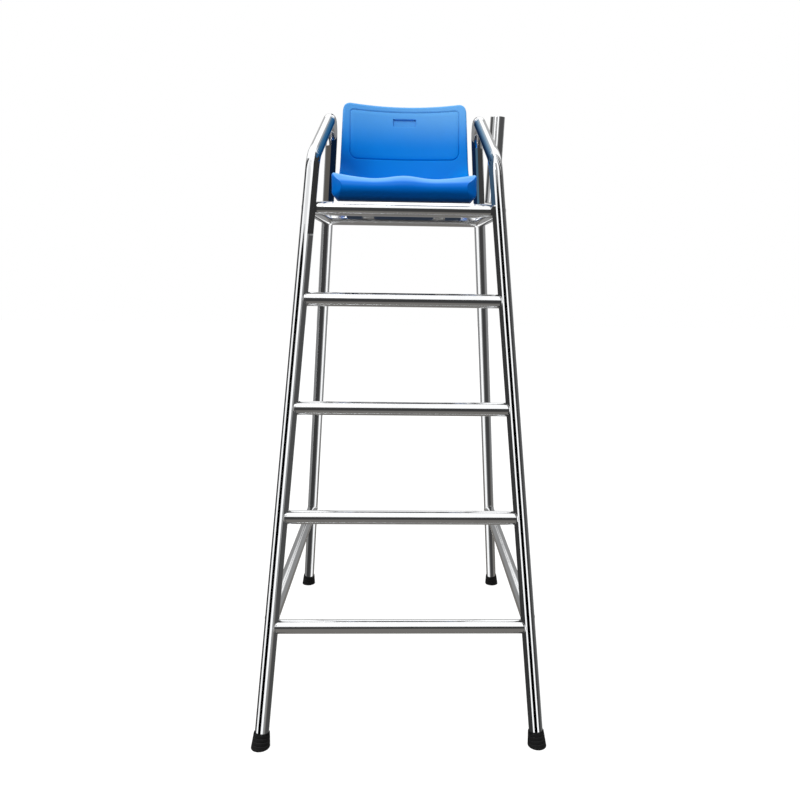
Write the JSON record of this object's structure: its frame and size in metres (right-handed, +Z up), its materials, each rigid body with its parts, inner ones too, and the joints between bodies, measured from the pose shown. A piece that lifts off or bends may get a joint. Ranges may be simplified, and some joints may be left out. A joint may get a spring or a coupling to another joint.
{
  "type": "lifeguard chair",
  "caption": "Tall lifeguard chair: four leaning tube legs with steps between the front pair, armrest loops, a moulded bucket seat and a parasol socket.",
  "frame": {"origin": "on the floor, in the middle of the four feet", "axes": "+Z up, the sitter faces -Y, +X is the sitter's left, where the parasol socket is"},
  "size_m": [0.8042, 1.1067, 1.8002],
  "materials": {
    "polished_steel": "mirror polished stainless steel tube",
    "seat_plastic": "satin blue moulded polyethylene",
    "foot_rubber": "black ribbed rubber",
    "plated_steel": "zinc plated steel",
    "insert_brass": "turned brass"
  },
  "bodies": {
    "root": {"left_side_frame": "polished_steel", "right_side_frame": "polished_steel", "step_rung_1": "polished_steel", "step_rung_2": "polished_steel", "step_rung_3": "polished_steel", "step_rung_4": "polished_steel", "left_lower_side_rail": "polished_steel", "right_lower_side_rail": "polished_steel", "left_seat_side_rail": "polished_steel", "right_seat_side_rail": "polished_steel", "seat_front_rail": "polished_steel", "seat_rear_rail": "polished_steel", "left_seat_bearer": "polished_steel", "right_seat_bearer": "polished_steel", "parasol_socket": "polished_steel", "parasol_socket_base": "polished_steel", "parasol_socket_stub": "polished_steel", "seat_shell": "seat_plastic", "left_front_foot": "foot_rubber", "left_rear_foot": "foot_rubber", "right_front_foot": "foot_rubber", "right_rear_foot": "foot_rubber", "seat_bolt_1": "plated_steel", "seat_bolt_2": "plated_steel", "seat_bolt_3": "plated_steel", "seat_bolt_4": "plated_steel", "seat_washer_1": "plated_steel", "seat_washer_2": "plated_steel", "seat_washer_3": "plated_steel", "seat_washer_4": "plated_steel", "seat_insert_1": "insert_brass", "seat_insert_2": "insert_brass", "seat_insert_3": "insert_brass", "seat_insert_4": "insert_brass"}
  },
  "joints": []
}
